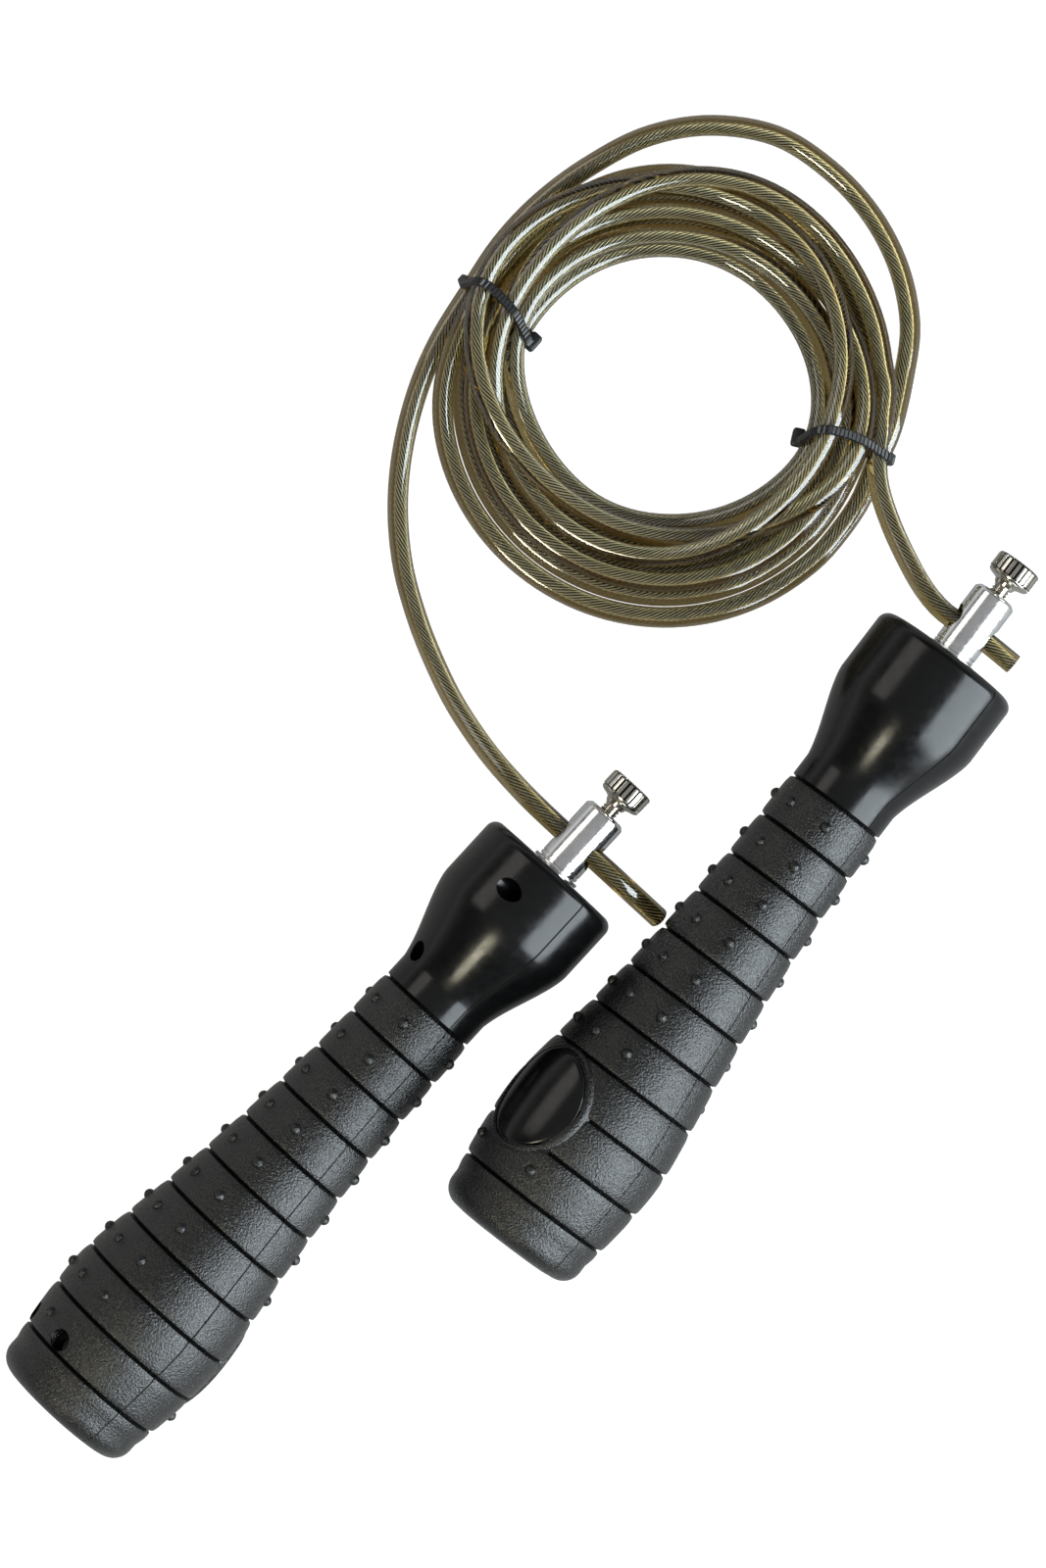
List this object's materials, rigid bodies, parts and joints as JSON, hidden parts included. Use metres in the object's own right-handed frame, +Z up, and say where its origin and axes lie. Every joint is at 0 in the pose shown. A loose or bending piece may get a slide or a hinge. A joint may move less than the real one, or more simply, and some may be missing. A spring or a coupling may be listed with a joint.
{
  "type": "jump rope",
  "caption": "Adjustable skipping rope: coated wire cable in a tied coil, clamped in the spinning spindles of two tapered, ribbed, ball-bearing handles.",
  "frame": {"origin": "on the table under the middle of the two handles' bounding box", "axes": "+Z up from the table; the coil lies towards +Y and the left handle towards -X"},
  "size_m": [0.2302, 0.3016, 0.0411],
  "materials": {
    "shell_plastic": "glossy black moulded ABS",
    "grip_rubber": "matte finely textured black soft-touch rubber with raised bands and dots",
    "badge_plastic": "polished black domed oval, plain",
    "spindle_aluminium": "bright turned and polished",
    "screw_nickel": "nickel plated, knurled, slightly warm",
    "screw_steel": "zinc-plated steel",
    "bearing_steel": "ground bearing steel",
    "cable_jacket": "clear smoke-amber PVC over a laid steel wire core",
    "tie_plastic": "black ribbed nylon"
  },
  "bodies": {
    "cable": {"cable_left_lead": "cable_jacket", "cable_coil": "cable_jacket", "cable_right_lead": "cable_jacket", "left_cable_tie": "tie_plastic", "right_cable_tie": "tie_plastic", "left_front_bearing_inner_ring": "bearing_steel", "left_rear_bearing_inner_ring": "bearing_steel", "left_spindle": "spindle_aluminium", "left_spindle_washer": "bearing_steel", "left_retaining_clip": "bearing_steel", "right_front_bearing_inner_ring": "bearing_steel", "right_rear_bearing_inner_ring": "bearing_steel", "right_spindle": "spindle_aluminium", "right_spindle_washer": "bearing_steel", "right_retaining_clip": "bearing_steel"},
    "left_front_bearing_balls": {"left_front_bearing_balls": "bearing_steel"},
    "left_rear_bearing_balls": {"left_rear_bearing_balls": "bearing_steel"},
    "left_handle": {"left_front_shell": "shell_plastic", "left_rear_shell": "shell_plastic", "left_front_grip": "grip_rubber", "left_rear_grip": "grip_rubber", "left_badge": "badge_plastic", "left_head_screw_1": "screw_steel", "left_head_screw_2": "screw_steel", "left_neck_screw": "screw_steel", "left_butt_screw_1": "screw_steel", "left_butt_screw_2": "screw_steel", "left_front_bearing_outer_ring": "bearing_steel", "left_rear_bearing_outer_ring": "bearing_steel"},
    "left_thumb_screw": {"left_thumb_screw": "screw_nickel"},
    "right_front_bearing_balls": {"right_front_bearing_balls": "bearing_steel"},
    "right_rear_bearing_balls": {"right_rear_bearing_balls": "bearing_steel"},
    "right_handle": {"right_front_shell": "shell_plastic", "right_rear_shell": "shell_plastic", "right_front_grip": "grip_rubber", "right_rear_grip": "grip_rubber", "right_badge": "badge_plastic", "right_head_screw_1": "screw_steel", "right_head_screw_2": "screw_steel", "right_neck_screw": "screw_steel", "right_butt_screw_1": "screw_steel", "right_butt_screw_2": "screw_steel", "right_front_bearing_outer_ring": "bearing_steel", "right_rear_bearing_outer_ring": "bearing_steel"},
    "right_thumb_screw": {"right_thumb_screw": "screw_nickel"}
  },
  "joints": [
    {"name": "left_handle_spin", "type": "hinge", "parent": "cable", "child": "left_handle", "pos_m": [0.0062, 0.0291, 0.01803], "axis": [0.6768, 0.736, -0.018], "continuous": true},
    {"name": "left_front_bearing_roll", "type": "hinge", "parent": "cable", "child": "left_front_bearing_balls", "pos_m": [0.0062, 0.0291, 0.01803], "axis": [0.6768, 0.736, -0.018], "continuous": true},
    {"name": "left_rear_bearing_roll", "type": "hinge", "parent": "cable", "child": "left_rear_bearing_balls", "pos_m": [0.0062, 0.0291, 0.01803], "axis": [0.6768, 0.736, -0.018], "continuous": true},
    {"name": "left_thumb_screw_turn", "type": "hinge", "parent": "cable", "child": "left_thumb_screw", "pos_m": [0.0062, 0.0291, 0.01803], "axis": [0.6768, 0.736, -0.018], "range_deg": [0, 900]},
    {"name": "right_handle_spin", "type": "hinge", "parent": "cable", "child": "right_handle", "pos_m": [0.095, 0.0772, 0.01803], "axis": [0.6073, 0.7943, -0.018], "continuous": true},
    {"name": "right_front_bearing_roll", "type": "hinge", "parent": "cable", "child": "right_front_bearing_balls", "pos_m": [0.095, 0.0772, 0.01803], "axis": [0.6073, 0.7943, -0.018], "continuous": true},
    {"name": "right_rear_bearing_roll", "type": "hinge", "parent": "cable", "child": "right_rear_bearing_balls", "pos_m": [0.095, 0.0772, 0.01803], "axis": [0.6073, 0.7943, -0.018], "continuous": true},
    {"name": "right_thumb_screw_turn", "type": "hinge", "parent": "cable", "child": "right_thumb_screw", "pos_m": [0.095, 0.0772, 0.01803], "axis": [0.6073, 0.7943, -0.018], "range_deg": [0, 900]}
  ],
  "couplings": [
    {"joint": "left_front_bearing_roll", "follows": "left_handle_spin", "ratio": 0.5878},
    {"joint": "left_rear_bearing_roll", "follows": "left_handle_spin", "ratio": 0.5878},
    {"joint": "right_front_bearing_roll", "follows": "right_handle_spin", "ratio": 0.5878},
    {"joint": "right_rear_bearing_roll", "follows": "right_handle_spin", "ratio": 0.5878}
  ]
}
